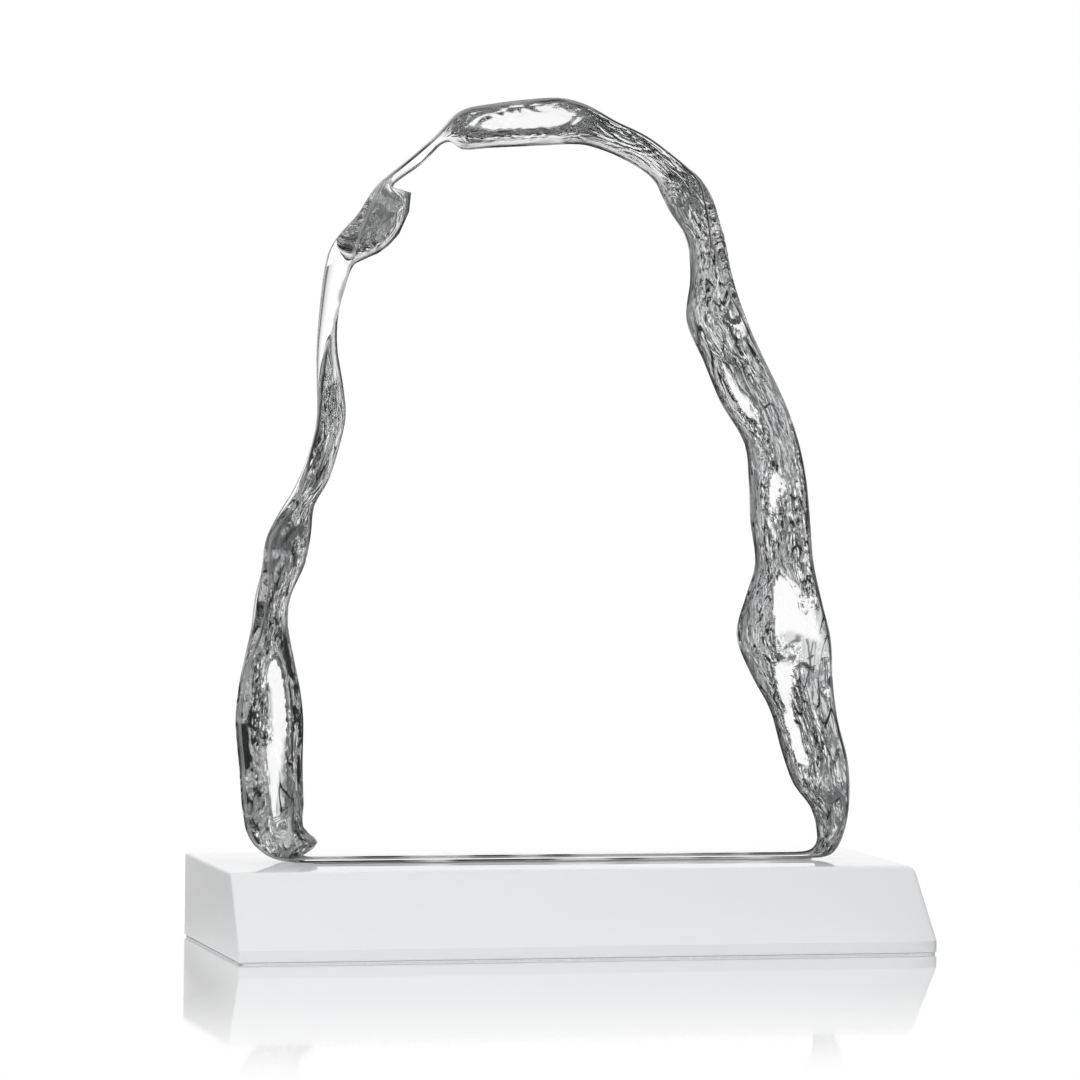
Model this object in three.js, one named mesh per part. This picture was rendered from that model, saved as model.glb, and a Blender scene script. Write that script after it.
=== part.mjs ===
// Iceberg award: a slab of clear optical crystal with a chipped, ice-like edge,
// bonded upright on a solid white plinth that stands on a thin protective pad.
// Millimetres, +Z up. The origin is the centre of the plinth's footprint, on the table.
// +X runs along the plinth to the right, and +Y runs from the front face to the back.

import * as THREE from 'three';

// Facets in each quarter turn of a rounded corner or edge
const ARC_STEPS = 6;

// Pad under the plinth
const PAD_THICKNESS = 0.4;
const PAD_INSET = 3;
const PAD_CORNER_RADIUS = 3;

// Plinth: the front and the right end lean back above a low upright lip, the other two sides are upright
const PLINTH_LENGTH = 211;
const PLINTH_DEPTH = 76;
const PLINTH_HEIGHT = 24.6;
const PLINTH_LIP = 3.5;
const PLINTH_FRONT_LEAN = 13;
const PLINTH_RIGHT_LEAN = 3;
const PLINTH_FOOT_ROUND = 0.6;
const PLINTH_TOP_ROUND = 0.8;
const PLINTH_RIGHT_TOP_ROUND = 2.4;
const PLINTH_CORNER_RADIUS = 0.6;
const PLINTH_RIGHT_CORNER_RADIUS = 1.8;

// Clear bond between the ground foot of the crystal and the plinth
const BOND_THICKNESS = 0.25;
const BOND_INSET = 1;
const BOND_CORNER_RADIUS = 2;

// Crystal slab
const CRYSTAL_LENGTH = 188.9;
const CRYSTAL_HEIGHT = 225.4;
const CRYSTAL_THICKNESS = 25;
const CRYSTAL_SETBACK = 36;
const CHIP_SIZE = 13;
const CHIP_DEPTH = 1.3;
const CHIP_HOLLOW = 0.07;
const CHIP_SCATTER = 0.7;
const CHIP_SEED = 17;
const LEDGE_WIDTH = 0.38;
const LEDGE_DROP = 0.07;
const COLUMN_STEP = 2.6;
const FOOT_COLUMN_STEP = 8;
const EDGE_ROUND_STEPS = 4;
const BACK_ROUND = 0.5;
const BACK_ROUND_STEPS = 2;
const CHIP_STEPS = 8;

// Stations round the slab, from the left toe over the peak to the right toe.
// Each gives x and height above the foot of the front face's edge, the same for the back face's
// edge, the radius of the rounded front edge, the share of the thickness behind it that stays an
// upright wall before the edge breaks inwards, how far the break steps down over a flat ledge (1)
// instead of sloping straight to the back (0), and the share of its width at the ledge's middle.
const STATIONS = [
  [-80.5, 0, -76.5, 0, 0.8, 0.6, 0, 0.62],
  [-88.5, 1.8, -70.8, 4.2, 0.8, 0.3, 0.1, 0.62],
  [-94.5, 7.3, -75.5, 9, 1, 0.2, 0.4, 0.62],
  [-96.6, 15.5, -75.5, 16, 1.2, 0.12, 0.8, 0.55],
  [-97.7, 27.5, -76, 27.5, 1.3, 0.1, 1, 0.55],
  [-99.1, 42, -76, 41, 1.3, 0.1, 1, 0.55],
  [-98.5, 50, -77, 49.5, 1.4, 0.1, 1, 0.55],
  [-96.6, 59.5, -79, 59, 1.8, 0.1, 0.7, 0.55],
  [-94.4, 69, -81, 69, 3, 0.1, 0.2, 0.62],
  [-93.5, 77, -80.5, 77, 3.2, 0.1, 0, 0.62],
  [-91.7, 86, -76, 87.5, 2.4, 0.08, 0.1, 0.55],
  [-90.9, 94.5, -74.5, 96, 1.4, 0.08, 0.2, 0.55],
  [-86.4, 103, -73.5, 104.5, 2.2, 0.08, 0, 0.55],
  [-82.5, 109.5, -69.5, 111.5, 2, 0.08, 0.2, 0.55],
  [-78.3, 120.5, -66.5, 121, 0.8, 0.05, 0.3, 0.55],
  [-76.3, 130, -64.5, 131, 0.8, 0.05, 0.2, 0.55],
  [-76.3, 140, -65.5, 140, 1.6, 0.05, 0, 0.55],
  [-76.2, 150.5, -67.4, 151, 2.8, 0.05, 0, 0.55],
  [-75.1, 161.5, -67.2, 160.5, 4.6, 0.05, 0, 0.55],
  [-73.5, 173.5, -65, 169.5, 6, 0.05, 0, 0.55],
  [-71.7, 180, -62.5, 175.7, 6.5, 0.05, 0, 0.55],
  [-68.5, 185, -55.5, 179, 5, 0.05, 0.1, 0.55],
  [-64.6, 189.5, -49, 185, 3.2, 0.05, 0.3, 0.55],
  [-61.5, 195, -45.6, 197.2, 2, 0.05, 0.2, 0.55],
  [-59, 198.7, -51.5, 198.4, 1, 0.05, 0, 0.55],
  [-50, 206.1, -42.4, 205.8, 0.8, 0.05, 0, 0.55],
  [-42, 213.1, -34.8, 212.6, 0.8, 0.05, 0, 0.38],
  [-34, 221, -30, 210.5, 0.8, 0.2, 0.3, 0.38],
  [-25.5, 223, -22, 211.2, 1, 0.2, 0.7, 0.38],
  [-15, 224.6, -13.5, 211.8, 1.2, 0.2, 1, 0.38],
  [-3, 225.4, -3, 212.5, 1.2, 0.2, 0.9, 0.38],
  [5, 223.3, 6.5, 213, 1, 0.2, 0.4, 0.38],
  [12.5, 219.3, 12.5, 211.8, 0.8, 0.15, 0.1, 0.55],
  [22.5, 215, 20.5, 208.8, 0.8, 0.15, 0, 0.55],
  [33, 208, 29.5, 203.3, 1, 0.1, 0, 0.55],
  [40.2, 202.6, 32.5, 198.3, 2, 0.1, 0.1, 0.55],
  [45.1, 196, 34.8, 194, 5, 0.1, 0.2, 0.55],
  [49.2, 185.5, 40.5, 185.3, 7, 0.08, 0, 0.55],
  [51, 174, 42, 174, 4.3, 0.05, 0.6, 0.42],
  [55, 161, 41, 161, 1.8, 0.05, 0.2, 0.5],
  [60.6, 149.3, 46.5, 149, 1.4, 0.05, 0.7, 0.68],
  [66.9, 137.3, 52.2, 136.5, 1.2, 0.05, 1, 0.58],
  [71.5, 125.5, 60, 124, 1, 0.05, 0.1, 0.5],
  [74.3, 113.5, 61.5, 113, 1, 0.05, 0.7, 0.47],
  [75.7, 101.5, 62.3, 100.5, 1, 0.05, 0.8, 0.6],
  [77, 89, 64, 88, 1, 0.05, 0.2, 0.55],
  [79.8, 77.5, 61.5, 79, 1, 0.05, 1, 0.45],
  [83, 65.7, 58.5, 66.5, 1.2, 0.05, 1, 0.38],
  [83.8, 53.7, 63, 55, 1.2, 0.05, 0.8, 0.6],
  [85.6, 41.7, 69.5, 43.8, 1.2, 0.05, 1, 0.7],
  [89, 29.5, 73.5, 31, 1.2, 0.05, 0.9, 0.68],
  [89.8, 20.5, 77.5, 21, 1.2, 0.1, 0.2, 0.6],
  [89.3, 12.5, 83, 14, 1, 0.3, 0, 0.55],
  [87.3, 5.3, 85, 7, 0.8, 0.6, 0, 0.55],
  [84.5, 1.2, 84.8, 2.5, 0.8, 0.7, 0, 0.55],
  [80, 0, 81.5, 0, 0.8, 0.6, 0, 0.55],
];

const PLINTH_TOP = PAD_THICKNESS + PLINTH_HEIGHT;
const FOOT_LEVEL = PLINTH_TOP + BOND_THICKNESS;
const CRYSTAL_FRONT = CRYSTAL_SETBACK - PLINTH_DEPTH / 2;

// Stations brought to the slab's length and height
function crystalStations() {
  const xs = STATIONS.flatMap(([x, , backX]) => [x, backX]);
  const heights = STATIONS.flatMap(([, height, , backHeight]) => [height, backHeight]);
  const stretch = CRYSTAL_LENGTH / (Math.max(...xs) - Math.min(...xs));
  const rise = CRYSTAL_HEIGHT / Math.max(...heights);
  return STATIONS.map(([x, height, backX, backHeight, round, wall, ledge, ledgeMiddle]) => ({
    front: new THREE.Vector3(x * stretch, 0, FOOT_LEVEL + height * rise),
    back: new THREE.Vector3(backX * stretch, 0, FOOT_LEVEL + backHeight * rise),
    round,
    wall,
    ledge,
    ledgeMiddle,
  }));
}

const CRYSTAL_STATIONS = crystalStations();
const LEFT_TOE = CRYSTAL_STATIONS[0];
const RIGHT_TOE = CRYSTAL_STATIONS[CRYSTAL_STATIONS.length - 1];

// Triangles that fill a flat outline, each turning the same way as the outline
function capTriangles(outline) {
  const triangles = THREE.ShapeUtils.triangulateShape(outline, []);
  const outlineTurn = Math.sign(THREE.ShapeUtils.area(outline));
  const triangleTurn = Math.sign(THREE.ShapeUtils.area(triangles[0].map((index) => outline[index])));
  return outlineTurn === triangleTurn ? triangles : triangles.map(([a, b, c]) => [a, c, b]);
}

// Closed body through a stack of rings with equal point counts, with a flat cap on the first and last ring.
// flatten maps a point of a cap to the plane of the caps.
function skin(rings, flatten) {
  const count = rings[0].length;
  const triangles = [];
  for (let ring = 0; ring < rings.length - 1; ring++) {
    for (let near = 0; near < count; near++) {
      const far = (near + 1) % count;
      const a = ring * count + near;
      const b = ring * count + far;
      const c = a + count;
      const d = b + count;
      const points = rings[ring];
      const nextPoints = rings[ring + 1];
      const cutAcross = points[near].distanceTo(nextPoints[far]) < points[far].distanceTo(nextPoints[near]);
      triangles.push(...(cutAcross ? [a, b, d, a, d, c] : [a, b, c, b, d, c]));
    }
  }
  const lastStart = (rings.length - 1) * count;
  for (const [a, b, c] of capTriangles(rings[0].map(flatten))) {
    triangles.push(a, c, b);
  }
  for (const [a, b, c] of capTriangles(rings[rings.length - 1].map(flatten))) {
    triangles.push(lastStart + a, lastStart + b, lastStart + c);
  }
  const geometry = new THREE.BufferGeometry().setFromPoints(rings.flat());
  geometry.setIndex(triangles);
  geometry.computeVertexNormals();
  return geometry;
}

// Rounded rectangle between two corners, with its own radius on the left and right corners
function roundedRectangle(low, high, leftRadius, rightRadius) {
  const outline = new THREE.Shape();
  const quarter = Math.PI / 2;
  outline.absarc(low.x + leftRadius, low.y + leftRadius, leftRadius, 2 * quarter, 3 * quarter);
  outline.absarc(high.x - rightRadius, low.y + rightRadius, rightRadius, 3 * quarter, 4 * quarter);
  outline.absarc(high.x - rightRadius, high.y - rightRadius, rightRadius, 0, quarter);
  outline.absarc(low.x + leftRadius, high.y - leftRadius, leftRadius, quarter, 2 * quarter);
  return outline;
}

// Thin sheet of a rounded outline, lying on the given level
function flatSheet(outline, thickness, level) {
  const options = { depth: thickness, bevelEnabled: false, curveSegments: ARC_STEPS };
  return new THREE.ExtrudeGeometry(outline, options).translate(0, 0, level);
}

// How far a plinth side stands in from its footprint at a height:
// rounded foot, lean above the lip, rounded top
function plinthInset(height, lean, topRound) {
  const footRise = Math.max(0, PLINTH_FOOT_ROUND - height);
  const topRise = Math.max(0, height - (PLINTH_HEIGHT - topRound));
  const footInset = PLINTH_FOOT_ROUND - Math.sqrt(Math.max(0, PLINTH_FOOT_ROUND ** 2 - footRise ** 2));
  const topInset = topRound - Math.sqrt(Math.max(0, topRound ** 2 - topRise ** 2));
  const leanShare = Math.max(0, height - PLINTH_LIP) / (PLINTH_HEIGHT - PLINTH_LIP);
  return footInset + lean * leanShare + topInset;
}

// Heights of the plinth's rings, closer together in its rounded edges
function plinthLevels() {
  const levels = [];
  const largestRound = Math.max(PLINTH_TOP_ROUND, PLINTH_RIGHT_TOP_ROUND);
  for (let step = 0; step <= ARC_STEPS; step++) {
    const turn = (step / ARC_STEPS) * (Math.PI / 2);
    levels.push(PLINTH_FOOT_ROUND * (1 - Math.cos(turn)));
    levels.push(PLINTH_HEIGHT - largestRound * (1 - Math.sin(turn)));
  }
  levels.push(PLINTH_LIP);
  return levels.sort((a, b) => a - b);
}

function buildPlinth() {
  const rings = plinthLevels().map((height) => {
    const upright = plinthInset(height, 0, PLINTH_TOP_ROUND);
    const front = plinthInset(height, PLINTH_FRONT_LEAN, PLINTH_TOP_ROUND);
    const right = plinthInset(height, PLINTH_RIGHT_LEAN, PLINTH_RIGHT_TOP_ROUND);
    const low = new THREE.Vector2(-PLINTH_LENGTH / 2 + upright, -PLINTH_DEPTH / 2 + front);
    const high = new THREE.Vector2(PLINTH_LENGTH / 2 - right, PLINTH_DEPTH / 2 - upright);
    const outline = roundedRectangle(low, high, PLINTH_CORNER_RADIUS, PLINTH_RIGHT_CORNER_RADIUS);
    const points = outline.getPoints(ARC_STEPS);
    return points.map((point) => new THREE.Vector3(point.x, point.y, PAD_THICKNESS + height));
  });
  return skin(rings, (point) => new THREE.Vector2(point.x, point.y));
}

function buildPad() {
  const high = new THREE.Vector2(PLINTH_LENGTH / 2 - PAD_INSET, PLINTH_DEPTH / 2 - PAD_INSET);
  const low = high.clone().negate();
  const outline = roundedRectangle(low, high, PAD_CORNER_RADIUS, PAD_CORNER_RADIUS);
  return flatSheet(outline, PAD_THICKNESS, 0);
}

// The bond lies inside the ground foot, which ends at the inner of the front and back toes
function buildBond() {
  const left = Math.max(LEFT_TOE.front.x, LEFT_TOE.back.x);
  const right = Math.min(RIGHT_TOE.front.x, RIGHT_TOE.back.x);
  const front = CRYSTAL_FRONT + Math.max(LEFT_TOE.round, RIGHT_TOE.round);
  const low = new THREE.Vector2(left + BOND_INSET, front + BOND_INSET);
  const high = new THREE.Vector2(right - BOND_INSET, CRYSTAL_FRONT + CRYSTAL_THICKNESS - BOND_INSET);
  const outline = roundedRectangle(low, high, BOND_CORNER_RADIUS, BOND_CORNER_RADIUS);
  return flatSheet(outline, BOND_THICKNESS, PLINTH_TOP);
}

// Repeatable scatter between -0.5 and 0.5 for a cell of the chip pattern
function scatter(column, row) {
  return THREE.MathUtils.euclideanModulo(Math.sin(column * CHIP_SEED + row) * CHIP_SEED ** 3, 1) - 0.5;
}

// Depth share of the shell-shaped chips at a place on the broken edge:
// 1 in the middle of a chip, less at its ridges
function chipShare(along, across) {
  const column = Math.floor(along / CHIP_SIZE);
  const row = Math.floor(across / CHIP_SIZE);
  let nearest = Infinity;
  for (let i = column - 1; i <= column + 1; i++) {
    for (let j = row - 1; j <= row + 1; j++) {
      const centreAlong = (i + 0.5 + CHIP_SCATTER * scatter(i, j)) * CHIP_SIZE;
      const centreAcross = (j + 0.5 + CHIP_SCATTER * scatter(j, i)) * CHIP_SIZE;
      nearest = Math.min(nearest, Math.hypot(along - centreAlong, across - centreAcross));
    }
  }
  return Math.max(0, 1 - (nearest / CHIP_SIZE) ** 2);
}

// Share of the break's depth reached at a share of its width, stepping down before and after a ledge
function ledgeDepth(share, middle) {
  const start = middle - LEDGE_WIDTH / 2;
  const end = middle + LEDGE_WIDTH / 2;
  const steepness = (1 - LEDGE_DROP) / (1 - LEDGE_WIDTH);
  if (share < start) {
    return steepness * share;
  }
  if (share > end) {
    return 1 - steepness * (1 - share);
  }
  return steepness * start + LEDGE_DROP * ((share - start) / LEDGE_WIDTH);
}

// Columns round the slab: front and back edge, inward direction, the stations' shares between two of them,
// and the run along the front edge so far
function crystalColumns() {
  const fronts = CRYSTAL_STATIONS.map(({ front }) => front);
  const backs = CRYSTAL_STATIONS.map(({ back }) => back);
  const frontCurve = new THREE.CatmullRomCurve3(fronts, false, 'centripetal');
  const backCurve = new THREE.CatmullRomCurve3(backs, false, 'centripetal');
  const spans = CRYSTAL_STATIONS.length - 1;
  const columns = [];
  let run = 0;
  for (let span = 0; span < spans; span++) {
    const here = CRYSTAL_STATIONS[span];
    const next = CRYSTAL_STATIONS[span + 1];
    const length = here.front.distanceTo(next.front);
    const steps = Math.max(1, Math.round(length / COLUMN_STEP));
    for (let step = 0; step < steps; step++) {
      const share = step / steps;
      const place = (span + share) / spans;
      const tangent = frontCurve.getTangent(place);
      columns.push({
        front: frontCurve.getPoint(place),
        back: backCurve.getPoint(place),
        inward: new THREE.Vector3(tangent.z, 0, -tangent.x),
        round: THREE.MathUtils.lerp(here.round, next.round, share),
        wall: THREE.MathUtils.lerp(here.wall, next.wall, share),
        ledge: THREE.MathUtils.lerp(here.ledge, next.ledge, share),
        ledgeMiddle: THREE.MathUtils.lerp(here.ledgeMiddle, next.ledgeMiddle, share),
        run: run + share * length,
      });
    }
    run += length;
  }
  const footSteps = Math.round((RIGHT_TOE.front.x - LEFT_TOE.front.x) / FOOT_COLUMN_STEP);
  for (let step = 0; step < footSteps; step++) {
    const share = step / footSteps;
    columns.push({
      front: RIGHT_TOE.front.clone().lerp(LEFT_TOE.front, share),
      back: RIGHT_TOE.back.clone().lerp(LEFT_TOE.back, share),
      inward: new THREE.Vector3(0, 0, 1),
      round: THREE.MathUtils.lerp(RIGHT_TOE.round, LEFT_TOE.round, share),
      wall: THREE.MathUtils.lerp(RIGHT_TOE.wall, LEFT_TOE.wall, share),
      ledge: 0,
      ledgeMiddle: RIGHT_TOE.ledgeMiddle,
      run: 0,
    });
  }
  return columns;
}

// Points of one column from the front face over the rounded edge and the wall,
// then down the break and over the smaller round to the back face
function crystalColumnPoints(column) {
  const { front, back, inward, round, wall, ledge, ledgeMiddle, run } = column;
  const points = [];
  const place = (base, offset, depth) => {
    const point = base.clone().addScaledVector(inward, offset);
    point.y = CRYSTAL_FRONT + depth;
    points.push(point);
  };
  for (let step = 0; step <= EDGE_ROUND_STEPS; step++) {
    const turn = (step / EDGE_ROUND_STEPS) * (Math.PI / 2);
    place(front, round * (1 - Math.sin(turn)), round * (1 - Math.cos(turn)));
  }
  const wallDepth = THREE.MathUtils.lerp(round, CRYSTAL_THICKNESS, wall);
  place(front, 0, wallDepth);
  const reach = back.clone().sub(front).dot(inward);
  const drop = CRYSTAL_THICKNESS - BACK_ROUND - wallDepth;
  const slant = Math.hypot(reach, drop);
  const bite = Math.min(1, (reach / CHIP_SIZE) ** 2);
  const isFoot = run === 0;
  for (let step = 1; step <= CHIP_STEPS; step++) {
    const share = step / CHIP_STEPS;
    const arch = 4 * share * (1 - share);
    const chip = CHIP_HOLLOW * slant + CHIP_DEPTH * chipShare(run, share * slant);
    const scoop = isFoot ? 0 : arch * bite * chip;
    const base = front.clone().lerp(back, share);
    const depth = wallDepth + drop * THREE.MathUtils.lerp(share, ledgeDepth(share, ledgeMiddle), ledge);
    place(base, (scoop * drop) / slant, depth - (scoop * reach) / slant);
  }
  for (let step = 1; step <= BACK_ROUND_STEPS; step++) {
    const turn = (step / BACK_ROUND_STEPS) * (Math.PI / 2);
    place(back, BACK_ROUND * (1 - Math.cos(turn)), CRYSTAL_THICKNESS - BACK_ROUND * (1 - Math.sin(turn)));
  }
  return points;
}

function buildCrystal() {
  const columns = crystalColumns().map(crystalColumnPoints);
  const rings = columns[0].map((_, row) => columns.map((points) => points[row]));
  return skin(rings, (point) => new THREE.Vector2(point.x, point.z));
}

function part(name, geometry, look) {
  const mesh = new THREE.Mesh(geometry, new THREE.MeshStandardMaterial(look));
  mesh.name = name;
  return mesh;
}

const award = new THREE.Group();
award.add(
  part('underside_pad', buildPad(), { color: 0xd8d8d4, roughness: 0.9, metalness: 0 }),
  part('plinth', buildPlinth(), { color: 0xe9ebed, roughness: 0.18, metalness: 0 }),
  part('bond_film', buildBond(), { color: 0xf6fafa, roughness: 0.05, metalness: 0 }),
  part('iceberg_crystal', buildCrystal(), { color: 0xf2f7f7, roughness: 0.02, metalness: 0 }),
);

export default award;
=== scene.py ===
"""Iceberg award: a clear crystal slab with a chipped ice edge, bonded on a glossy white plinth.

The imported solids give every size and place. This script gives the crystal its broken ice skin,
the plinth, bond and pad their finishes, and sets the studio and the camera. Lengths are in metres.
"""

import logging
import math
from dataclasses import dataclass, field
from enum import Enum
from typing import Any, Optional

import bmesh
import bpy
from mathutils import Matrix, Vector
from mathutils.geometry import intersect_point_line
from mathutils.kdtree import KDTree


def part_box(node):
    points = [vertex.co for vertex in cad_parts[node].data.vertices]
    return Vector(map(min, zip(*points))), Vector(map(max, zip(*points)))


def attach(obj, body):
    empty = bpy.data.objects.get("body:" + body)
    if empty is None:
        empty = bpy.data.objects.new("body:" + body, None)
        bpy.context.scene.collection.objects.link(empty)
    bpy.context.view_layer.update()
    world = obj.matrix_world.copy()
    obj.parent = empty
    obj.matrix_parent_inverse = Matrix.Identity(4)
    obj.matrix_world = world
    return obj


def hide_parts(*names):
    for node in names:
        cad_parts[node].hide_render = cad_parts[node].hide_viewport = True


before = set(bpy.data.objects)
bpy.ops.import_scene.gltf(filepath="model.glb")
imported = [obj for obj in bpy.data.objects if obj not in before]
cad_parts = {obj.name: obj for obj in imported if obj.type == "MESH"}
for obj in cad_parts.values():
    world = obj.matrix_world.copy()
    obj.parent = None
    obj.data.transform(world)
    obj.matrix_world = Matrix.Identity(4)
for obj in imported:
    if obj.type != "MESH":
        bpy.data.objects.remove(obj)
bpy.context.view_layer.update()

MM = 0.001
TOUCH = 0.001 * MM  # places nearer to each other than this are one
DIGITS = 5  # decimals to which two heights are compared
MIDDLE = 0.5  # middle level of a noise
WHITE = (1.0, 1.0, 1.0, 1.0)
LOG = logging.getLogger("iceberg_award")

Socket = bpy.types.NodeSocket
Colour = tuple[float, float, float]
Fade = tuple[float, ...]  # start and end, then the low and high result where they aren't 0 and 1
Grain = tuple[float, ...]  # waves in a metre, octaves and the share that each octave keeps


class Body(Enum):
    """Bodies that pieces ride on."""

    ROOT = "root"


class CadNode(Enum):
    """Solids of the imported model."""

    CRYSTAL = "iceberg_crystal"
    BOND = "bond_film"
    PLINTH = "plinth"
    PAD = "underside_pad"


class Slot(Enum):
    """Material slots of the record."""

    CRYSTAL = "clear_crystal"
    BOND = "clear_bond"
    PLINTH = "white_plinth"
    PAD = "pad_foam"


class Mark(Enum):
    """Attributes of the crystal's broken skin."""

    ICE = "ice"
    SWIRL = "swirl"
    # level of the painted grey shade, above 1 with painted dark blots
    SHADE = "shade"
    WINDOW = "window"
    # width of the painted dark line at the back rim
    RIM = "rim"
    LEAN = "lean"
    FLOW = "flow"


class Graph:
    """Builder for the nodes of one tree."""

    MIX_COLOURS = (6, 7)  # places of a Mix node's two colour inputs
    MIXED_COLOUR = 2  # place of its colour output

    def __init__(self, tree: bpy.types.NodeTree) -> None:
        """Keep the tree and empty it.

        Args:
            tree: node tree of a material, a world or a Geometry Nodes group.
        """
        self.tree = tree
        tree.nodes.clear()

    def node(self, kind: str, inputs: Optional[dict[Any, Any]] = None, **settings: Any) -> bpy.types.Node:
        """Add a node.

        Args:
            kind: Blender's type name of the node.
            inputs: values or sockets for the inputs, by name or place.
            settings: properties of the node.

        Returns:
            The new node.
        """
        made = self.tree.nodes.new(kind)
        for name, value in settings.items():
            setattr(made, name, value)
        for name, value in (inputs or {}).items():
            self.feed(made.inputs[name], value)
        return made

    def feed(self, socket: Socket, value: Any) -> None:
        """Link a socket to an input, or set the input's own value.

        Args:
            socket: input to fill.
            value: an output socket, a number, a vector or a colour.
        """
        if isinstance(value, Socket):
            self.tree.links.new(value, socket)
        else:
            socket.default_value = value

    def math(self, operation: str, *values: Any) -> Socket:
        """Number from one Math node.

        Args:
            operation: Blender's name of the operation.
            values: numbers or sockets, in the node's order.

        Returns:
            The result's socket.
        """
        return self.node("ShaderNodeMath", dict(enumerate(values)), operation=operation).outputs[0]

    def times(self, first: Any, second: Any) -> Socket:
        """Product of two numbers."""
        return self.math("MULTIPLY", first, second)

    def minus(self, first: Any, second: Any) -> Socket:
        """First number less the second."""
        return self.math("SUBTRACT", first, second)

    def rest(self, share: Any) -> Socket:
        """1 less a share."""
        return self.minus(1.0, share)

    def larger(self, first: Any, second: Any) -> Socket:
        """Larger of two numbers."""
        return self.math("MAXIMUM", first, second)

    def smaller(self, first: Any, second: Any) -> Socket:
        """Smaller of two numbers."""
        return self.math("MINIMUM", first, second)

    def apart(self, first: Any, second: Any) -> Socket:
        """How far two numbers are apart."""
        return self.math("ABSOLUTE", self.minus(first, second))

    def vector(self, operation: str, *values: Any) -> Socket:
        """Vector, or length or dot product, from one Vector Math node.

        Args:
            operation: Blender's name of the operation.
            values: vectors or sockets, in the node's order.

        Returns:
            The result's socket.
        """
        made = self.node("ShaderNodeVectorMath", dict(enumerate(values)), operation=operation)
        single = operation in ("LENGTH", "DOT_PRODUCT")
        return made.outputs["Value" if single else "Vector"]

    def scaled(self, vector: Any, size: Any) -> Socket:
        """Vector times a number."""
        made = self.node("ShaderNodeVectorMath", {0: vector, "Scale": size}, operation="SCALE")
        return made.outputs["Vector"]

    def drawn_out(self, flow: Any, stretch: float) -> Socket:
        """Coordinate whose pattern is so many times longer along the edge than across it."""
        return self.vector("DIVIDE", flow, (stretch, 1, 1))

    def parts(self, vector: Any) -> Any:
        """Outputs X, Y and Z of a vector."""
        return self.node("ShaderNodeSeparateXYZ", {"Vector": vector}).outputs

    def combined(self, **axes: Any) -> Socket:
        """Vector with the named axes, and 0 on the others."""
        return self.node("ShaderNodeCombineXYZ", axes).outputs["Vector"]

    def fade(self, value: Any, start: float, end: float, low: float = 0.0, high: float = 1.0) -> Socket:
        """Smooth change from low to high as a value goes from start to end.

        Args:
            value: socket to read.
            start: value at which the change starts.
            end: value at which it ends.
            low: result up to start.
            high: result from end on.

        Returns:
            The result's socket.
        """
        names = {"Value": value, "From Min": start, "From Max": end, "To Min": low, "To Max": high}
        return self.node("ShaderNodeMapRange", names, interpolation_type="SMOOTHSTEP").outputs["Result"]

    def blend(self, share: Any, first: Any, second: Any) -> Socket:
        """Mix two colours.

        Args:
            share: share of the second colour.
            first: first colour.
            second: second colour.

        Returns:
            The mixed colour's socket.
        """
        names = {"Factor": share, **dict(zip(self.MIX_COLOURS, (first, second)))}
        return self.node("ShaderNodeMix", names, data_type="RGBA").outputs[self.MIXED_COLOUR]

    def mix_shaders(self, share: Any, first: Any, second: Any) -> Socket:
        """Mix two shaders, with a share of the second."""
        return self.node("ShaderNodeMixShader", {"Fac": share, 1: first, 2: second}).outputs["Shader"]

    def noise(
        self, place: Any, scale: Any, detail: float = 2.0, rough: float = 0.5, bend: float = 0.0,
    ) -> Socket:
        """Noise value at a place.

        Args:
            place: coordinate socket.
            scale: waves in a metre.
            detail: octaves.
            rough: share that each octave keeps.
            bend: how far the waves are bent.

        Returns:
            The noise socket, from 0 to 1.
        """
        names = {"Vector": place, "Scale": scale, "Detail": detail, "Roughness": rough, "Distortion": bend}
        return self.node("ShaderNodeTexNoise", names).outputs[0]

    def cells(self, place: Any, scale: Any) -> Any:
        """Outputs of a pattern of cells, so many in a metre."""
        return self.node("ShaderNodeTexVoronoi", {"Vector": place, "Scale": scale}).outputs

    def bump(self, height: Any, depth: float) -> Socket:
        """Normal of a relief of the given height and depth."""
        return self.node("ShaderNodeBump", {"Height": height, "Distance": depth}).outputs["Normal"]

    def attribute(self, mark: Mark, output: str = "Fac") -> Socket:
        """Mark of the surface, read in a material."""
        return self.node("ShaderNodeAttribute", attribute_name=mark.value).outputs[output]

    def stored(self, mark: Mark, kind: str) -> Socket:
        """Mark of the geometry, read in a Geometry Nodes tree."""
        made = self.node("GeometryNodeInputNamedAttribute", {"Name": mark.value}, data_type=kind)
        return made.outputs["Attribute"]

    def change(
        self, kind: str, geometry: Socket, inputs: Optional[dict[str, Any]] = None, **settings: Any,
    ) -> Socket:
        """Change a geometry by one Geometry Nodes step.

        Args:
            kind: Blender's type name of the node.
            geometry: geometry socket.
            inputs: values or sockets for the node's other inputs.
            settings: properties of the node.

        Returns:
            The changed geometry's socket.
        """
        return self.node(kind, {"Geometry": geometry, **(inputs or {})}, **settings).outputs["Geometry"]


def rgba(colour: Colour) -> tuple[float, float, float, float]:
    """Opaque colour in a shader's form."""
    return (*colour, 1.0)


def bare_material(name: str) -> tuple[bpy.types.Material, Graph, Socket]:
    """Start a material without a shader.

    Args:
        name: material name.

    Returns:
        The material, its graph and the input that takes its shader.
    """
    material = bpy.data.materials.new(name)
    material.use_nodes = True
    graph = Graph(material.node_tree)
    return material, graph, graph.node("ShaderNodeOutputMaterial").inputs["Surface"]


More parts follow.
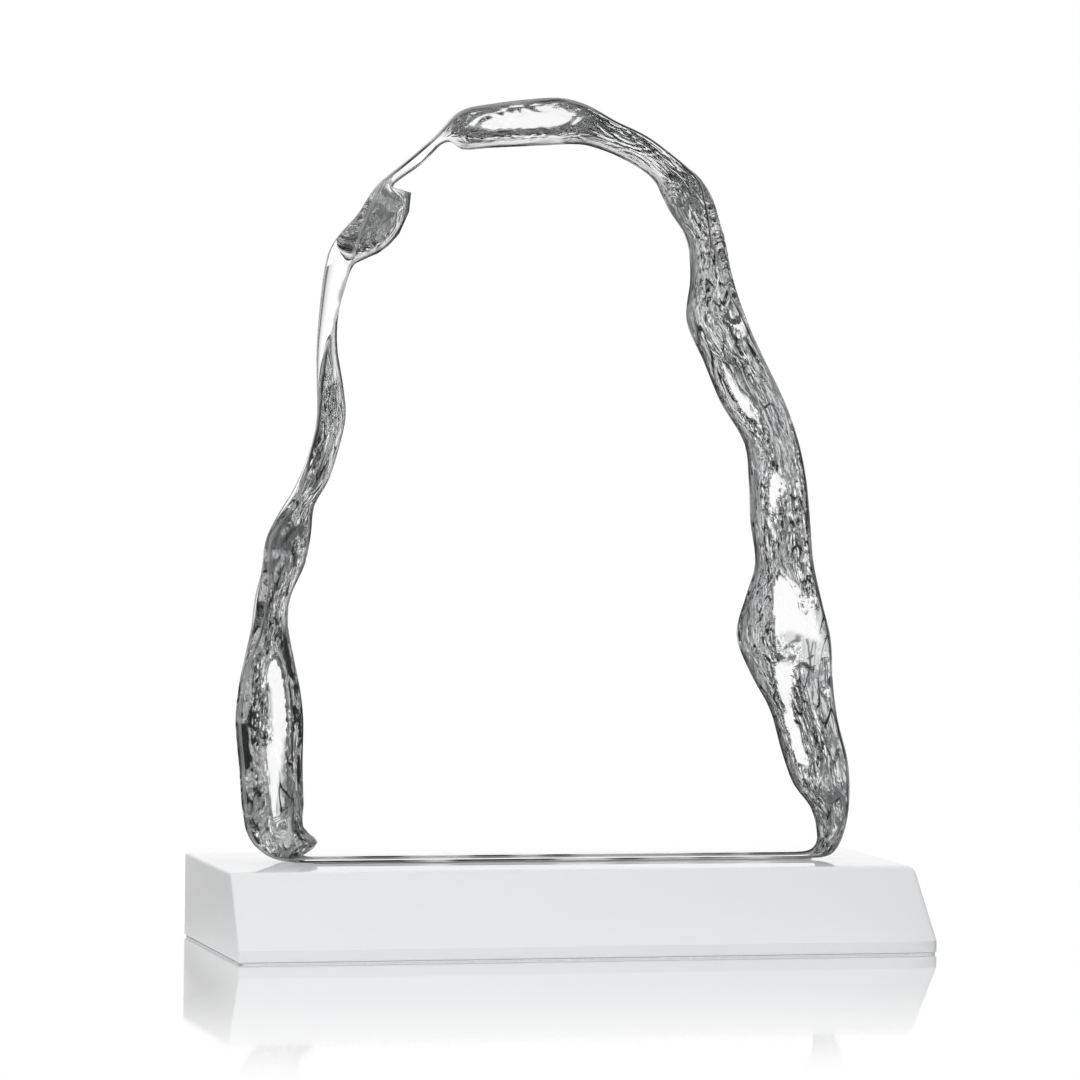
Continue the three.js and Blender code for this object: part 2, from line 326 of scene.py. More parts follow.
def new_material(name: str, values: dict[str, Any]) -> tuple[bpy.types.Material, Graph, bpy.types.Node]:
    """Start a material with a Principled shader.

    Args:
        name: material name.
        values: shader inputs that are the same all over the surface.

    Returns:
        The material, its graph and its Principled node.
    """
    material, graph, surface = bare_material(name)
    shader = graph.node("ShaderNodeBsdfPrincipled", values)
    graph.feed(surface, shader.outputs["BSDF"])
    return material, graph, shader


def object_place(graph: Graph) -> Socket:
    """Object coordinates, in metres."""
    return graph.node("ShaderNodeTexCoord").outputs["Object"]


@dataclass(frozen=True)
class CrystalFinish:
    """Clear optical crystal, plain on the polished faces and marked on the broken edge.

    The broken edge has a relief of flow lines, facets and shell ripples. Its chips carry a painted grey
    shade with clear flecks, and its cracks, pits, blots and rims a painted dark shade, both in place of
    the grey and dark of light bent inside the glass.
    """

    tint: Colour = (1.0, 1.0, 1.0)
    gleam: Colour = (0.25, 0.25, 0.25)
    ior: float = 1.52
    line_stretch: float = 3.2
    line_sizes: tuple[float, ...] = (3.4 * MM, 1.2 * MM)
    line_slopes: tuple[float, ...] = (0.5, 0.3)
    line_bend: float = 1.2
    facet_size: float = 1.1 * MM
    facet_slope: float = 0.16
    shell_size: float = 15 * MM
    ripple_width: float = 2.8 * MM
    ripple_depth: float = 0.11 * MM
    # Painted shade: the grey put into the chips' colour, and the light it holds back, in place of the grey
    # of light bent inside the glass.
    shade: Colour = (0.42, 0.436, 0.444)
    shade_loss: float = 0.10
    most_loss: float = 0.99
    # Painted dark shade of the cracks, pits, blots, ledge lines and rims; the fields below shape where it
    # lies.
    painted_dark_colour: Colour = (0.003, 0.0032, 0.0033)
    crack_stretch: float = 3.0
    fine_crack: float = 1.8 * MM
    long_crack: float = 8.0 * MM
    long_crack_share: float = 0.95
    crack_fade: Fade = (0.0084, 0.028, 1.0, 0.0)
    patch_size: float = 10 * MM
    patch_fade: Fade = (0.42, 0.54)
    ledge_lean: float = 0.68
    ledge_line_fade: Fade = (0.01, 0.03, 0.4, 0.0)
    fleck_size: float = 1.1 * MM
    fleck_stretch: float = 1.8
    fleck_rough: float = 0.6
    fleck_fade: Fade = (0.548, 0.578)
    pit_fade: Fade = (0.42, 0.39, 0.0, 0.95)
    # Painted dark blots, where the painted shade is above 1.
    blot_size: float = 6 * MM
    blot_stretch: float = 1.3
    blot_fade: Fade = (0.465, 0.525, 0.0, 0.95)
    # Painted dark lines along the rims, and painted dark on a steep wall near the back rim.
    rim_fade: Fade = (0.24 * MM, 0.8 * MM, 0.95, 0.0)
    rim_uneven_fade: Fade = (0.35, 0.60, 0.55, 1.0)
    wall_fade: Fade = (0.8 * MM, 12 * MM, 0.70, 0.0)
    wall_lean_fade: Fade = (0.50, 0.36)
    least_rim: float = 0.02
    most_lean_squared: float = 0.96

    def polished(self) -> bpy.types.Material:
        """Build the material of the flat faces.

        Returns:
            Plain clear glass.
        """
        values = {
            "Base Color": rgba(self.tint), "Specular Tint": rgba(self.gleam), "Roughness": 0.0,
            "IOR": self.ior, "Transmission Weight": 1.0,
        }
        return new_material("polished_crystal", values)[0]

    def broken(self, front: float, back: float) -> bpy.types.Material:
        """Build the material of the broken edge.

        Args:
            front: depth of the front face.
            back: depth of the back face.

        Returns:
            Glass whose relief and painted shade follow the marks of the skin.
        """
        values = {
            "Roughness": 0.0, "IOR": self.ior, "Specular IOR Level": 0.0,
            "Specular Tint": rgba(self.gleam),
        }
        # The broken skin's material carries the painted grey and dark shade.
        material, graph, shader = new_material("clear_crystal", values)
        flow = graph.attribute(Mark.FLOW, "Vector")
        drawn = graph.drawn_out(flow, self.line_stretch)
        relief = self.facets(graph, drawn)
        for size, slope in zip(self.line_sizes, self.line_slopes):
            lines = graph.noise(drawn, 1 / size, detail=1.0, bend=self.line_bend)
            relief = graph.math("ADD", relief, graph.times(lines, slope * size))
        ripples = graph.times(self.ripples(graph, flow), graph.attribute(Mark.SWIRL))
        height = graph.math("MULTIPLY_ADD", relief, graph.attribute(Mark.ICE), ripples)
        graph.feed(shader.inputs["Normal"], graph.bump(height, 1.0))
        self.paint_shade(graph, shader, flow, front, back)
        return material

    def facets(self, graph: Graph, place: Any) -> Socket:
        """Height of small flat facets, each tilted its own way.

        Args:
            graph: graph of the material.
            place: coordinate socket.

        Returns:
            The height's socket, in metres.
        """
        cells = graph.cells(place, 1 / self.facet_size)
        tilt = graph.vector("SUBTRACT", cells["Color"], (MIDDLE, MIDDLE, MIDDLE))
        rise = graph.vector("DOT_PRODUCT", graph.vector("SUBTRACT", place, cells["Position"]), tilt)
        return graph.times(rise, self.facet_slope)

    def ripples(self, graph: Graph, place: Any) -> Socket:
        """Height of the rings that spread from the middle of each shell-shaped chip.

        Args:
            graph: graph of the material.
            place: coordinate socket.

        Returns:
            The height's socket, in metres.
        """
        away = graph.cells(place, 1 / self.shell_size)["Distance"]
        turns = graph.times(away, math.tau * self.shell_size / self.ripple_width)
        return graph.times(graph.math("SINE", turns), self.ripple_depth)

    def paint_shade(self, graph: Graph, shader: bpy.types.Node, flow: Any, front: float, back: float) -> None:
        """Paint shade on the broken skin: clear windows and flecks, painted grey shade on the chips,
        painted dark shade in cracks, pits, blots and rims.

        Args:
            graph: graph of the material.
            shader: glass shader.
            flow: coordinate socket that runs along the edge.
            front: depth of the front face.
            back: depth of the back face.
        """
        lean = graph.attribute(Mark.LEAN)
        shade = graph.attribute(Mark.SHADE)
        drawn = graph.drawn_out(flow, self.crack_stretch)
        busy = graph.fade(graph.noise(drawn, 1 / self.patch_size, detail=1.0), *self.patch_fade)
        grain = graph.drawn_out(flow, self.fleck_stretch)
        speckle = graph.noise(grain, 1 / self.fleck_size, rough=self.fleck_rough)
        flecks = graph.times(graph.fade(speckle, *self.fleck_fade), busy)
        pits = graph.times(graph.fade(speckle, *self.pit_fade), busy)
        # Painted dark shade: cracks, pits and blots.
        cracks = graph.larger(self.cracks(graph, drawn, busy, lean), pits)
        plain = graph.smaller(shade, 1.0)
        deep = graph.minus(shade, plain)
        cracks = graph.times(cracks, graph.times(plain, plain))
        patches = graph.noise(graph.drawn_out(flow, self.blot_stretch), 1 / self.blot_size)
        blots = graph.times(graph.fade(patches, *self.blot_fade), deep)
        dark = graph.times(graph.larger(cracks, blots), graph.rest(flecks))
        dark = graph.larger(self.rims(graph, drawn, lean, front, back), dark)
        plain = graph.larger(graph.minus(plain, flecks), 0.0)
        # Painted shade: the chips' colour turns grey and dark, and less light goes through them.
        grey = graph.blend(plain, rgba(self.tint), rgba(self.shade))
        graph.feed(shader.inputs["Base Color"], graph.blend(dark, grey, rgba(self.painted_dark_colour)))
        loss = graph.math("MULTIPLY_ADD", plain, self.shade_loss, dark)
        through = graph.rest(graph.smaller(loss, self.most_loss))
        graph.feed(shader.inputs["Transmission Weight"], through)

    def cracks(self, graph: Graph, place: Any, busy: Any, lean: Any) -> Socket:
        """Share of painted dark shade along the fine and long cracks and round each ledge.

        Args:
            graph: graph of the material.
            place: coordinate socket.
            busy: share of the fine cracks that shows.
            lean: how far the skin faces the back.

        Returns:
            The share's socket.
        """
        fine = graph.times(self.crack(graph, place, self.fine_crack), busy)
        long = graph.times(self.crack(graph, place, self.long_crack), self.long_crack_share)
        off = graph.apart(lean, self.ledge_lean)
        ledge_shade_line = graph.fade(off, *self.ledge_line_fade)
        return graph.larger(graph.larger(fine, long), ledge_shade_line)

    def crack(self, graph: Graph, place: Any, size: float) -> Socket:
        """1 along bent hairline cracks and 0 between them.

        Args:
            graph: graph of the material.
            place: coordinate socket.
            size: spacing of the cracks.

        Returns:
            The share's socket.
        """
        wave = graph.noise(place, 1 / size, detail=1.0, bend=self.line_bend)
        off = graph.apart(wave, MIDDLE)
        return graph.fade(off, *self.crack_fade)

    def rims(self, graph: Graph, place: Any, lean: Any, front: float, back: float) -> Socket:
        """Share of painted dark shade in lines at the front and back rims, and on a steep wall near the
        back rim.

        Args:
            graph: graph of the material.
            place: coordinate socket.
            lean: how far the skin faces the back.
            front: depth of the front face.
            back: depth of the back face.

        Returns:
            The share's socket.
        """
        depth = graph.parts(object_place(graph))["Y"]
        squared = graph.smaller(graph.times(lean, lean), self.most_lean_squared)
        rise = graph.math("SQRT", graph.rest(squared))
        to_front = graph.math("DIVIDE", graph.minus(depth, front), rise)
        to_back = graph.math("DIVIDE", graph.minus(back, depth), rise)
        width = graph.larger(graph.attribute(Mark.RIM), self.least_rim)
        to_back = graph.math("DIVIDE", to_back, width)
        outer = graph.fade(to_front, *self.rim_fade)
        inner = graph.fade(to_back, *self.rim_fade)
        steep = graph.fade(lean, *self.wall_lean_fade)
        wall = graph.times(graph.fade(to_back, *self.wall_fade), steep)
        rim = graph.larger(outer, graph.larger(inner, wall))
        uneven = graph.fade(graph.noise(place, 1 / self.blot_size, detail=1.0), *self.rim_uneven_fade)
        return graph.times(rim, uneven)


@dataclass(frozen=True)
class BondFinish:
    """Cured adhesive with faint flow marks, tinted dark grey as a painted shade under the crystal's foot.
    """

    # Painted shade: this dark tint darkens the line where the foot meets the plinth and what is seen
    # through the foot.
    tint: Colour = (0.12, 0.124, 0.127)
    ior: float = 1.5
    flow_grain: Grain = (60.0, 2)
    haze_fade: Fade = (0.3, 0.7, 0.0, 0.06)

    def material(self) -> bpy.types.Material:
        """Build the material.

        Returns:
            Dark-tinted glass, the tint a painted shade, slightly hazy along the flow marks.
        """
        values = {"Base Color": rgba(self.tint), "IOR": self.ior, "Transmission Weight": 1.0}
        material, graph, shader = new_material("clear_bond", values)
        flow = graph.noise(object_place(graph), *self.flow_grain)
        graph.feed(shader.inputs["Roughness"], graph.fade(flow, *self.haze_fade))
        return material


@dataclass(frozen=True)
class PlinthFinish:
    """Opaque white, polished to a gloss with a trace of orange peel."""

    colour: Colour = (0.80, 0.81, 0.825)
    cloud_colour: Colour = (0.83, 0.84, 0.85)
    cloud_grain: Grain = (45.0, 4, 0.55)
    fine_grain: Grain = (1600.0, 2, 0.6)
    fine_share: float = 0.35
    haze_fade: Fade = (0.3, 0.7, 0.006, 0.02)
    ior: float = 1.49
    gloss: float = 0.33
    peel_size: float = 1.6 * MM
    peel_depth: float = 0.0012 * MM

    def material(self) -> bpy.types.Material:
        """Build the material.

        Returns:
            Glossy white with slight clouding and orange peel.
        """
        values = {"IOR": self.ior, "Specular IOR Level": self.gloss}
        material, graph, shader = new_material("white_plinth", values)
        place = object_place(graph)
        cloud = graph.noise(place, *self.cloud_grain)
        fine = graph.noise(place, *self.fine_grain)
        clouded = graph.times(cloud, 1 - self.fine_share)
        share = graph.math("MULTIPLY_ADD", fine, self.fine_share, clouded)
        colour = graph.blend(share, rgba(self.colour), rgba(self.cloud_colour))
        graph.feed(shader.inputs["Base Color"], colour)
        graph.feed(shader.inputs["Roughness"], graph.fade(cloud, *self.haze_fade))
        peel = graph.bump(graph.noise(place, 1 / self.peel_size), self.peel_depth)
        graph.feed(shader.inputs["Normal"], peel)
        return material


@dataclass(frozen=True)
class PadFinish:
    """Matt closed-cell foam."""

    colour: Colour = (0.87, 0.88, 0.89)
    # Painted shade: the hollow of each cell is painted this much darker.
    painted_cell_shade: float = 0.8
    cell_size: float = 0.5 * MM
    cell_depth: float = 0.05 * MM
    roughness: float = 0.9

    def material(self) -> bpy.types.Material:
        """Build the material.

        Returns:
            Matt foam with small cells.
        """
        material, graph, shader = new_material("pad_foam", {"Roughness": self.roughness})
        cells = graph.cells(object_place(graph), 1 / self.cell_size)["Distance"]
        # Painted shade: each cell's hollow is painted darker.
        dark = (*(self.painted_cell_shade * part for part in self.colour), 1.0)
        graph.feed(shader.inputs["Base Color"], graph.blend(cells, dark, rgba(self.colour)))
        graph.feed(shader.inputs["Normal"], graph.bump(cells, self.cell_depth))
        return material


def merged_copy(node: CadNode) -> bmesh.types.BMesh:
    """Copy a solid's mesh with its loose triangles joined.

    Args:
        node: solid to copy.

    Returns:
        The copy as a bmesh.
    """
    mesh = bmesh.new()
    mesh.from_mesh(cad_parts[node.value].data)
    bmesh.ops.remove_doubles(mesh, verts=mesh.verts, dist=TOUCH)
    return mesh


def piece_from(
    mesh: bmesh.types.BMesh, name: str, material: Optional[bpy.types.Material] = None,
) -> bpy.types.Object:
    """Make a linked object at the origin and free the bmesh.

    Args:
        mesh: finished bmesh.
        name: name of the piece.
        material: finish of the piece, if it has one yet.

    Returns:
        The new object.
    """
    data = bpy.data.meshes.new(name)
    mesh.to_mesh(data)
    mesh.free()
    if material:
        data.materials.append(material)
    piece = bpy.data.objects.new(name, data)
    bpy.context.scene.collection.objects.link(piece)
    return piece


def seat(piece: bpy.types.Object, node: CadNode) -> None:
    """Let a piece stand for its solid and ride on the body.

    Args:
        piece: finished piece.
        node: solid that it replaces.
    """
    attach(piece, Body.ROOT.value)
    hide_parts(node.value)
    LOG.info("%s: %d faces", piece.name, len(piece.data.polygons))


def socket_kind(value: Any) -> str:
    """Blender's type name of the tree input that takes a value."""
    if isinstance(value, bpy.types.Material):
        return "NodeSocketMaterial"
    return "NodeSocketInt" if isinstance(value, int) else "NodeSocketFloat"


@dataclass(frozen=True)
class Skin:
    """Levels of the marks on a stretch of the edge.

    Ice is the strength of the lines, facets and crinkle, and swirl that of the shell ripples. Shade is
    the painted grey shade of the chips, above 1 with painted dark blots. Window is how clear the ledges
    are. Rim is the width of the painted dark line at the back rim, where 1 is the usual width.
    """

    ice: float = 0.0
    swirl: float = 0.0
    shade: float = 0.0
    window: float = 1.0
    rim: float = 1.0

    def level(self, mark: Mark) -> float:
        """Level of one mark."""
        return getattr(self, mark.value)


@dataclass(frozen=True)
class EdgeZone:
    """Stretch of the edge with a skin of its own: x and z of its ends, and its reach, in millimetres."""

    start: tuple[float, float]
    end: tuple[float, float]
    reach: float
    skin: Skin
    core: float = 0.6

    def share_outside(self, graph: Graph, spot: Any) -> Socket:
        """0 on the stretch and 1 away from it.

        Args:
            graph: graph of the tree.
            spot: outputs of the separated position.

        Returns:
            The share's socket.
        """
        line = graph.node("GeometryNodeMeshLine", {
            "Count": 2,
            "Start Location": (self.start[0] * MM, 0, self.start[1] * MM),
            "Offset": (self.end[0] * MM, 0, self.end[1] * MM),
        }, mode="END_POINTS")
        near = graph.node("GeometryNodeProximity", {
            "Geometry": line.outputs["Mesh"],
            "Sample Position": graph.combined(X=spot["X"], Z=spot["Z"]),
        }, target_element="EDGES").outputs["Distance"]
        reach = self.reach * MM
        return graph.fade(near, self.core * reach, reach)


@dataclass
class IcebergCrystal:
    """Slab with flat polished faces and a broken edge that is chipped and crinkled like ice."""

    finish: CrystalFinish = field(default_factory=CrystalFinish)
    fineness: int = 2
    pair_angles: tuple[float, float] = (math.radians(60), math.radians(120))
    chip_size: float = 6 * MM
    chip_depth: float = 0.35 * MM
    bowl_reach: float = 0.75
    crinkle_size: float = 2.2 * MM
    crinkle_depth: float = 0.15 * MM
    crinkle_rough: float = 0.55
    stretch: float = 1.8
    warp_scale: float = 120.0
    warp_reach: float = 4 * MM
    seed: float = 3.7
    right_break: float = 34 * MM
    left_break: float = 85 * MM
    break_spread: float = 10 * MM
    front_lean_fade: Fade = (-0.95, -0.8)
    chip_lean_fade: Fade = (0.10, 0.35)
    # Fades of the relief and of the painted shade at the back face, the front face and the foot.
    skin_fades: tuple[Fade, ...] = ((0.5 * MM, 1.6 * MM), (1.6 * MM, 3.0 * MM), (0.0, 2.0 * MM))
    painted_shade_fades: tuple[Fade, ...] = ((-0.5 * MM, -0.2 * MM), (0.2 * MM, 0.9 * MM), (0.0, 1.0 * MM))
    ledge_fade: Fade = (0.67, 0.76)
    ledge_ice: float = 0.08
    rag_size: float = 7 * MM
    rag_depth: float = 0.5
    usual_skin: Skin = Skin(ice=1.0, swirl=0.2, shade=1.0)
    # Stretches of the edge whose relief, painted grey and dark shade, windows and rim line differ from the
    # usual skin.
    zones: tuple[EdgeZone, ...] = (
        EdgeZone((-75, 172), (-70, 205), 9, Skin(rim=1.6)),
        EdgeZone((-55, 226), (-39, 240), 7, Skin(rim=0.0)),
        EdgeZone((-62, 208), (-50, 218), 16, Skin(0.12, 1.0, 0.75, 0.0)),
        EdgeZone((-30, 243), (36, 231), 16, Skin(0.25, 0.6, 0.55, 0.7)),
        EdgeZone((-95, 30), (-90, 75), 26, Skin(1.0, 0.3, 2.0)),
        EdgeZone((-88, 120), (-84, 145), 16, Skin(1.0, 0.3, 1.75, 0.0)),
        EdgeZone((-96, 30), (-96, 84), 6.5, Skin(1.0, 0.8, 2.0, 0.0)),
        EdgeZone((-90, 75), (-89.2, 62), 3.4, Skin(1.0, 0.6, 1.7, 0.0)),
        EdgeZone((-80.5, 60), (-82.5, 40), 3.0, Skin(1.0, 0.6, 1.5, 0.0)),
        EdgeZone((-94, 108), (-94, 90), 6, Skin(1.0, 0.5, 0.6, 0.0)),
        EdgeZone((80.5, 108), (88, 76), 5, Skin(1.0, 0.2, 1.0, 0.0)),
        EdgeZone((88, 28), (94, 58), 14, Skin(1.0, 0.6, 1.6)),
        EdgeZone((71, 89), (79, 85.5), 5.5, Skin(1.0, 0.7, 1.0, 0.2)),
    )
    foot_middle: float = 20 * MM
    foot_reach: float = 85 * MM
    foot_lift: float = 1.6 * MM
    foot_touch: float = 0.02 * MM
    foot_grain: Grain = (30.0, 1)
    foot_wave_fade: Fade = (0.3, 0.7, 0.6, 1.0)

    def build(self) -> bpy.types.Object:
        """Make the crystal and seat it.

        Returns:
            The finished piece.
        """
        low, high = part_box(CadNode.CRYSTAL.value)
        band = self.open_band(low.y, high.y)
        piece = piece_from(band, "chipped_crystal")
        self.grow_ice(piece, low, high)
        self.close_faces(piece, low.y, high.y)
        piece.visible_shadow = False
        seat(piece, CadNode.CRYSTAL)
        return piece

    def open_band(self, front: float, back: float) -> bmesh.types.BMesh:
        """Copy the solid without its two flat faces, with its triangles paired.

        Args:
            front: depth of the front face.
            back: depth of the back face.

        Returns:
            The open band round the slab.
        """
        mesh = merged_copy(CadNode.CRYSTAL)
        caps = [
            face for face in mesh.faces
            if any(all(abs(corner.co.y - flat) < TOUCH for corner in face.verts) for flat in (front, back))
        ]
        bmesh.ops.delete(mesh, geom=caps, context="FACES_ONLY")
        face_angle, shape_angle = self.pair_angles
        bmesh.ops.join_triangles(
            mesh, faces=mesh.faces[:], angle_face_threshold=face_angle, angle_shape_threshold=shape_angle,
        )
        self.mark_flow(mesh, front)
        return mesh

    def mark_flow(self, mesh: bmesh.types.BMesh, front: float) -> None:
        """Note each corner's run along the front outline, its depth and its distance in from the outline.

        Args:
            mesh: open band.
            front: depth of the front face.
        """
        rim = self.front_rim(mesh, front)
        runs = [0.0]
        for here, after in zip(rim, rim[1:]):
            runs.append(runs[-1] + (after - here).length)
        tree = KDTree(len(rim))
        for index, place in enumerate(rim):
            tree.insert(place, index)
        tree.balance()
        flow = mesh.verts.layers.float_vector.new(Mark.FLOW.value)
        for corner in mesh.verts:
            flat = Vector((corner.co.x, front, corner.co.z))
            _, index, away = tree.find(flat)
            run = runs[index]
            for other in (max(index - 1, 0), min(index + 1, len(rim) - 1)):
                if other == index:
                    continue
                spot, share = intersect_point_line(flat, rim[index], rim[other])
                if 0 < share <= 1 and (flat - spot).length < away:
                    away = (flat - spot).length
                    run = runs[index] + share * (runs[other] - runs[index])
            corner[flow] = (run, corner.co.y, away)

    def front_rim(self, mesh: bmesh.types.BMesh, front: float) -> list[Vector]:
        """Places along the front outline, from the middle of the foot all the way round.

        Args:
            mesh: open band.
            front: depth of the front face.

        Returns:
            The places in order.
        """
        beside: dict[Any, list[Any]] = {}
        for edge in mesh.edges:
            if edge.is_boundary and all(abs(corner.co.y - front) < TOUCH for corner in edge.verts):
                for corner in edge.verts:
                    beside.setdefault(corner, []).append(edge.other_vert(corner))
        start = min(beside, key=lambda corner: (round(corner.co.z, DIGITS), abs(corner.co.x)))
        walk = [start, beside[start][0]]
        while len(walk) < len(beside):
            walk.append(next(corner for corner in beside[walk[-1]] if corner is not walk[-2]))
        return [corner.co.copy() for corner in walk]

    def grow_ice(self, piece: bpy.types.Object, low: Vector, high: Vector) -> None:
        """Grow the broken ice skin on the band and keep it as a plain mesh.

        Args:
            piece: object that holds the open band.
            low: lowest corner of the solid.
            high: highest corner of the solid.
        """
        values = {
            "Fineness": self.fineness, "Front": low.y, "Back": high.y, "Foot": low.z,
            "Chip Size": self.chip_size, "Chip Depth": self.chip_depth,
            "Crinkle Size": self.crinkle_size, "Crinkle Depth": self.crinkle_depth,
            "Right Break": self.right_break, "Left Break": self.left_break,
            "Seed": self.seed, "Material": self.finish.broken(low.y, high.y),
        }
        tree, identifiers = self.ice_tree(values)
        modifier = piece.modifiers.new("ice_skin", "NODES")
        modifier.node_group = tree
        for name, value in values.items():
            modifier[identifiers[name]] = value
        evaluated = piece.evaluated_get(bpy.context.evaluated_depsgraph_get())
        grown = bpy.data.meshes.new_from_object(evaluated)
        piece.modifiers.clear()
        band = piece.data
        piece.data = grown
        grown.name = piece.name
        bpy.data.meshes.remove(band)

    def ice_tree(self, values: dict[str, Any]) -> tuple[bpy.types.NodeTree, dict[str, str]]:
        """Build the Geometry Nodes tree of the ice skin.

        Args:
            values: values of the tree's inputs by name.

        Returns:
            The tree and the identifiers of its inputs by name.
        """
        tree = bpy.data.node_groups.new("ice_skin", "GeometryNodeTree")
        graph = Graph(tree)
        for way in ("INPUT", "OUTPUT"):
            tree.interface.new_socket(name="Geometry", in_out=way, socket_type="NodeSocketGeometry")
        identifiers = {}
        for name, value in values.items():
            made = tree.interface.new_socket(name=name, in_out="INPUT", socket_type=socket_kind(value))
            identifiers[name] = made.identifier
        given = graph.node("NodeGroupInput").outputs
        skin = graph.node("GeometryNodeSubdivisionSurface", {
            "Mesh": given["Geometry"], "Level": given["Fineness"],
        }).outputs["Mesh"]
        place = graph.node("GeometryNodeInputPosition").outputs["Position"]
        normal = graph.node("GeometryNodeInputNormal").outputs["Normal"]
        for mark, level in self.marks(graph, given, place, graph.parts(normal)["Y"]).items():
            skin = graph.change("GeometryNodeStoreNamedAttribute", skin, {
                "Name": mark.value, "Value": level,
            }, data_type="FLOAT", domain="POINT")
        depth = graph.times(self.ice_depth(graph, given), graph.stored(Mark.ICE, "FLOAT"))
        inward = graph.scaled(normal, graph.times(depth, -1.0))
        skin = graph.change("GeometryNodeSetPosition", skin, {"Offset": inward})
        skin = self.ease_foot(graph, given, place, skin)
        skin = graph.change("GeometryNodeSetShadeSmooth", skin, {"Shade Smooth": True})
        skin = graph.change("GeometryNodeRealizeInstances", skin)
        skin = graph.change("GeometryNodeSetMaterial", skin, {"Material": given["Material"]})
        graph.node("NodeGroupOutput", {"Geometry": skin})
        return tree, identifiers

    def marks(self, graph: Graph, given: Any, place: Any, lean: Any) -> dict[Mark, Socket]:
        """Levels of the marks on the skin, zone by zone.

        Args:
            graph: graph of the tree.
            given: outputs of the group input.
            place: position socket.
            lean: how far the skin faces the back.

        Returns:
            The sockets of the marks to store.
        """
        spot = graph.parts(place)
        mask = self.ice_mask(graph, given, spot, lean, self.skin_fades)
        ragged = graph.minus(graph.noise(place, 1 / self.rag_size), MIDDLE)
        turn = graph.math("MULTIPLY_ADD", ragged, self.rag_depth, lean)
        ledge = graph.fade(turn, *self.ledge_fade, high=1 - self.ledge_ice)
        masks = {
            Mark.ICE: graph.times(mask, graph.rest(ledge)),
            Mark.SWIRL: mask,
            Mark.SHADE: self.ice_mask(graph, given, spot, lean, self.painted_shade_fades),
            Mark.WINDOW: 1.0,
            Mark.RIM: 1.0,
        }
        outside = [zone.share_outside(graph, spot) for zone in self.zones]
        levels = {}
        for mark, most in masks.items():
            level = graph.times(most, self.usual_skin.level(mark))
            for zone, share in zip(self.zones, outside):
                inside = graph.times(most, zone.skin.level(mark))
                level = graph.math("MULTIPLY_ADD", graph.minus(level, inside), share, inside)
            levels[mark] = level
        clear = graph.times(ledge, levels.pop(Mark.WINDOW))
        levels[Mark.SHADE] = graph.times(levels[Mark.SHADE], graph.rest(clear))
        levels[Mark.LEAN] = turn
        return levels

    def ice_mask(self, graph: Graph, given: Any, spot: Any, lean: Any, fades: tuple[Fade, ...]) -> Socket:
        """Where the skin is broken: 1 on the chips, 0 on the smooth wall and at the flat faces and foot.

        Args:
            graph: graph of the tree.
            given: outputs of the group input.
            spot: outputs of the separated position.
            lean: how far the skin faces the back.
            fades: fades at the back face, the front face and the foot.

        Returns:
            The mask's socket.
        """
        right = graph.fade(graph.minus(spot["X"], given["Right Break"]), 0.0, self.break_spread)
        low = graph.fade(graph.minus(given["Left Break"], spot["Z"]), 0.0, self.break_spread)
        turned = graph.fade(lean, *self.front_lean_fade)
        whole = graph.times(graph.larger(right, low), turned)
        mask = graph.larger(graph.fade(lean, *self.chip_lean_fade), whole)
        away = (
            graph.minus(given["Back"], spot["Y"]),
            graph.minus(spot["Y"], given["Front"]),
            graph.minus(spot["Z"], given["Foot"]),
        )
        for distance, fade in zip(away, fades):
            mask = graph.times(mask, graph.fade(distance, *fade))
        return mask

    def ice_depth(self, graph: Graph, given: Any) -> Socket:
        """How deep the broken skin lies below the smooth band.

        Args:
            graph: graph of the tree.
            given: outputs of the group input.

        Returns:
            The depth's socket, in metres.
        """
        drawn = graph.drawn_out(graph.stored(Mark.FLOW, "FLOAT_VECTOR"), self.stretch)
        shifted = graph.vector("ADD", drawn, graph.combined(X=given["Seed"]))
        names = {"Vector": shifted, "Scale": self.warp_scale, "Detail": 2.0}
        warp = graph.node("ShaderNodeTexNoise", names).outputs["Color"]
        bent = graph.vector("ADD", shifted, graph.scaled(warp, self.warp_reach))
        chips = graph.cells(bent, graph.math("DIVIDE", 1.0, given["Chip Size"]))
        bowl = graph.fade(chips["Distance"], self.bowl_reach, 0.0)
        waves = graph.math("DIVIDE", 1.0, given["Crinkle Size"])
        crinkle = graph.noise(bent, waves, rough=self.crinkle_rough)
        deep = graph.times(bowl, given["Chip Depth"])
        return graph.math("MULTIPLY_ADD", crinkle, given["Crinkle Depth"], deep)

    def ease_foot(self, graph: Graph, given: Any, place: Any, geometry: Any) -> Socket:
        """Lift the front edge of the foot a little, most in the middle, for its ground-off corner.

        Args:
            graph: graph of the tree.
            given: outputs of the group input.
            place: position socket.
            geometry: geometry socket.

        Returns:
            The eased geometry's socket.
        """
        spot = graph.parts(place)
        to_front = graph.minus(spot["Y"], given["Front"])
        to_foot = graph.minus(spot["Z"], given["Foot"])
        chosen = graph.math("LESS_THAN", graph.larger(to_front, to_foot), self.foot_touch)
        off = graph.apart(spot["X"], self.foot_middle)
        middle = graph.fade(off, self.foot_reach, 0.0)
        wave = graph.fade(graph.noise(place, *self.foot_grain), *self.foot_wave_fade)
        lift = graph.times(graph.times(middle, wave), self.foot_lift)
        return graph.change("GeometryNodeSetPosition", geometry, {
            "Selection": chosen, "Offset": graph.combined(Z=lift),
        })

